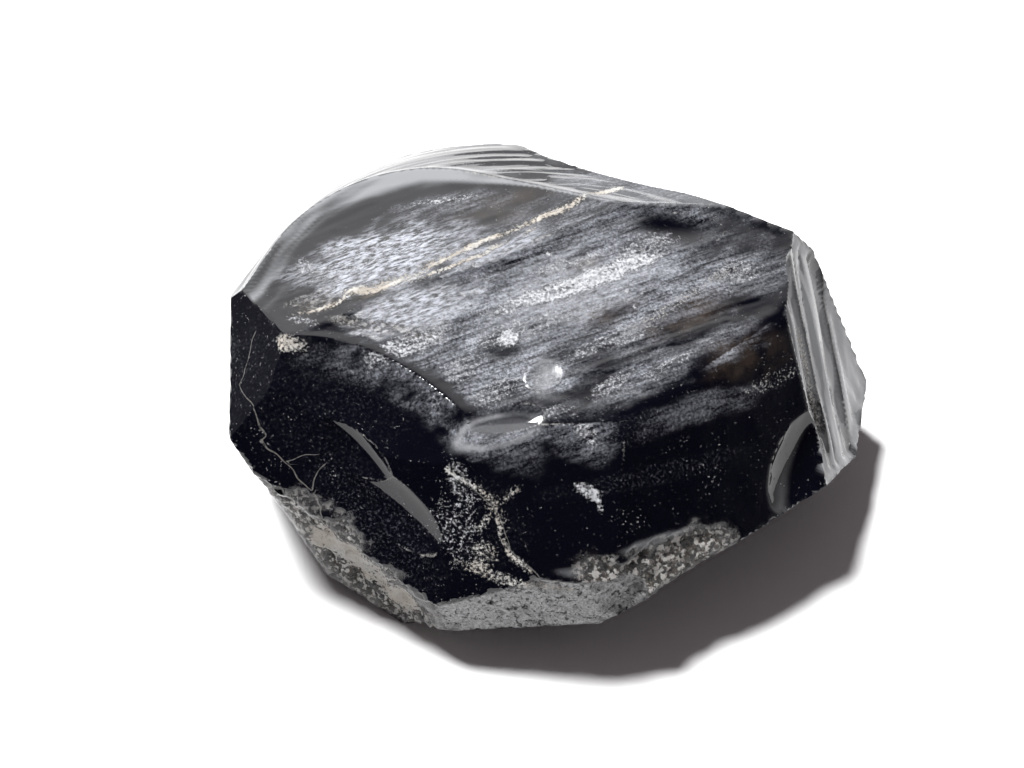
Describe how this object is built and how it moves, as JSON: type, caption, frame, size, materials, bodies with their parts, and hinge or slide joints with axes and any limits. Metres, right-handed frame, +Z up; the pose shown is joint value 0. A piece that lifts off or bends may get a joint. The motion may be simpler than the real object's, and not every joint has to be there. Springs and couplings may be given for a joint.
{
  "type": "obsidian chunk",
  "caption": "Rough hand-sized chunk of black volcanic glass with broad flaked faces, sharp edges and shell-shaped flake scars, resting on a flat base.",
  "frame": {"origin": "centre of the bounding box's bottom face, on the surface the chunk rests on", "axes": "+X along the chunk's longest extent, -Y towards the broad dark flaked faces, +Z up"},
  "size_m": [0.0902, 0.0728, 0.0388],
  "materials": {
    "obsidian": "glossy glassy fracture with frosted streaks, pale weathered crust in places"
  },
  "bodies": {
    "root": {"obsidian_chunk": "obsidian"}
  },
  "joints": []
}
